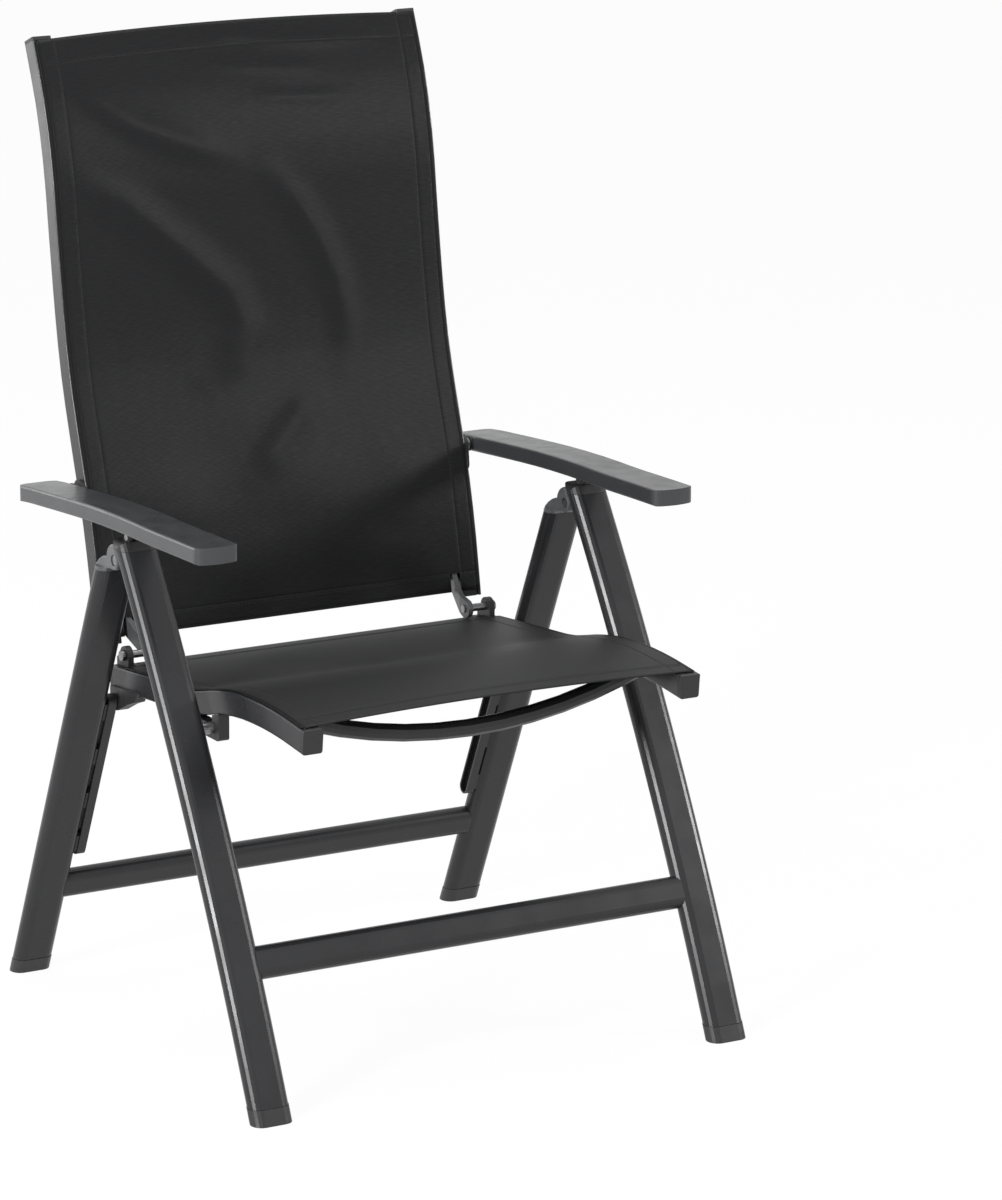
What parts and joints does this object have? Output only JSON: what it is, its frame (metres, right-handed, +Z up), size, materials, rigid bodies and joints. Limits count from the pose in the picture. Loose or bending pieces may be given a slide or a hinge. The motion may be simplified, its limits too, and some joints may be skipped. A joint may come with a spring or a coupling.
{
  "type": "folding sling patio chair",
  "caption": "High-backed folding garden chair with flat-oval legs, curved rails, stretched fabric seat and back, and armrests with notched racks that set the recline.",
  "frame": {"origin": "On the floor, in the middle of the chair's bounding box.", "axes": "+X to the right as seen from the front, -Y towards the front, +Z up."},
  "size_m": [0.624, 0.6824, 1.0875],
  "materials": {
    "frame_paint": "satin anthracite powder coat on aluminium",
    "hinge_casting": "satin light grey powder coat on cast aluminium",
    "black_plastic": "fine-grained black moulded plastic",
    "armrest_plastic": "satin grey moulded plastic",
    "steel": "zinc-plated steel",
    "sling_fabric": "fine woven coated mesh, dark anthracite"
  },
  "bodies": {
    "front_legs": {"front_leg_left": "frame_paint", "front_leg_right": "frame_paint", "front_crossbar": "frame_paint", "front_foot_left": "black_plastic", "front_foot_right": "black_plastic", "front_leg_head_left": "black_plastic", "front_leg_head_right": "black_plastic", "notch_pin_left": "steel", "notch_pin_right": "steel", "leg_hinge_lug_left": "hinge_casting", "leg_hinge_lug_right": "hinge_casting", "leg_hinge_bolt_left": "steel", "leg_hinge_bolt_right": "steel", "seat_pivot_bolt_left": "steel", "seat_pivot_bolt_right": "steel"},
    "rear_legs": {"rear_leg_left": "frame_paint", "rear_leg_right": "frame_paint", "rear_crossbar": "frame_paint", "rear_foot_left": "black_plastic", "rear_foot_right": "black_plastic", "rear_leg_knuckle_left": "hinge_casting", "rear_leg_knuckle_right": "hinge_casting", "slide_guide_left": "frame_paint", "slide_guide_right": "frame_paint"},
    "seat": {"seat_rail_left": "frame_paint", "seat_rail_right": "frame_paint", "seat_front_tube": "frame_paint", "seat_rear_tube": "frame_paint", "seat_front_cap_left": "black_plastic", "seat_front_cap_right": "black_plastic", "seat_rear_cap_left": "black_plastic", "seat_rear_cap_right": "black_plastic", "seat_pivot_bracket_left": "black_plastic", "seat_pivot_bracket_right": "black_plastic", "slide_bracket_left": "black_plastic", "slide_bracket_right": "black_plastic", "slide_pin_left": "steel", "slide_pin_right": "steel", "seat_sling": "sling_fabric"},
    "back_hinge": {"back_hinge_bolt_left": "steel", "back_hinge_bolt_right": "steel"},
    "back": {"back_rail_left": "frame_paint", "back_rail_right": "frame_paint", "back_top_tube": "frame_paint", "back_bottom_tube": "frame_paint", "back_top_cap_left": "black_plastic", "back_top_cap_right": "black_plastic", "back_hinge_bracket_left": "hinge_casting", "back_hinge_bracket_right": "hinge_casting", "arm_bracket_left": "black_plastic", "arm_bracket_right": "black_plastic", "back_sling": "sling_fabric"},
    "arm_bolt_left": {"armrest_bolt_left": "steel"},
    "arm_bush_left": {"armrest_bush_left": "black_plastic"},
    "arm_left": {"armrest_left": "armrest_plastic", "armrest_rack_left": "black_plastic"},
    "arm_bolt_right": {"armrest_bolt_right": "steel"},
    "arm_bush_right": {"armrest_bush_right": "black_plastic"},
    "arm_right": {"armrest_right": "armrest_plastic", "armrest_rack_right": "black_plastic"}
  },
  "joints": [
    {"name": "fold", "type": "hinge", "parent": "front_legs", "child": "seat", "pos_m": [0, -0.12358, 0.384], "axis": [-1, 0, 0], "range_deg": [0, 93.93]},
    {"name": "rear_leg_swing", "type": "hinge", "parent": "front_legs", "child": "rear_legs", "pos_m": [0, 0.0011, 0.5512], "axis": [-1, 0, 0], "range_deg": [0, 50.05]},
    {"name": "back_fold", "type": "hinge", "parent": "seat", "child": "back_hinge", "pos_m": [0, 0.11752, 0.408], "axis": [1, 0, 0], "range_deg": [0, 79]},
    {"name": "recline", "type": "hinge", "parent": "back_hinge", "child": "back", "pos_m": [0, 0.11752, 0.408], "axis": [-1, 0, 0], "range_deg": [0, 36]},
    {"name": "arm_fold_left", "type": "hinge", "parent": "back", "child": "arm_bolt_left", "pos_m": [0, 0.20467, 0.583], "axis": [-1, 0, 0], "range_deg": [0, 94.5]},
    {"name": "arm_tilt_left", "type": "hinge", "parent": "arm_bolt_left", "child": "arm_bush_left", "pos_m": [0, 0.20467, 0.583], "axis": [1, 0, 0], "range_deg": [0, 20.7]},
    {"name": "arm_lift_left", "type": "hinge", "parent": "arm_bush_left", "child": "arm_left", "pos_m": [0, 0.20467, 0.583], "axis": [-1, 0, 0], "range_deg": [0, 25]},
    {"name": "arm_fold_right", "type": "hinge", "parent": "back", "child": "arm_bolt_right", "pos_m": [0, 0.20467, 0.583], "axis": [-1, 0, 0], "range_deg": [0, 94.5]},
    {"name": "arm_tilt_right", "type": "hinge", "parent": "arm_bolt_right", "child": "arm_bush_right", "pos_m": [0, 0.20467, 0.583], "axis": [1, 0, 0], "range_deg": [0, 20.7]},
    {"name": "arm_lift_right", "type": "hinge", "parent": "arm_bush_right", "child": "arm_right", "pos_m": [0, 0.20467, 0.583], "axis": [-1, 0, 0], "range_deg": [0, 25]}
  ],
  "couplings": [
    {"joint": "rear_leg_swing", "follows": "fold", "ratio": 0.5323},
    {"joint": "back_fold", "follows": "fold", "ratio": 0.84},
    {"joint": "arm_fold_left", "follows": "fold", "ratio": 1.005},
    {"joint": "arm_tilt_left", "follows": "recline", "ratio": 0.572},
    {"joint": "arm_fold_right", "follows": "fold", "ratio": 1.005},
    {"joint": "arm_tilt_right", "follows": "recline", "ratio": 0.572}
  ]
}
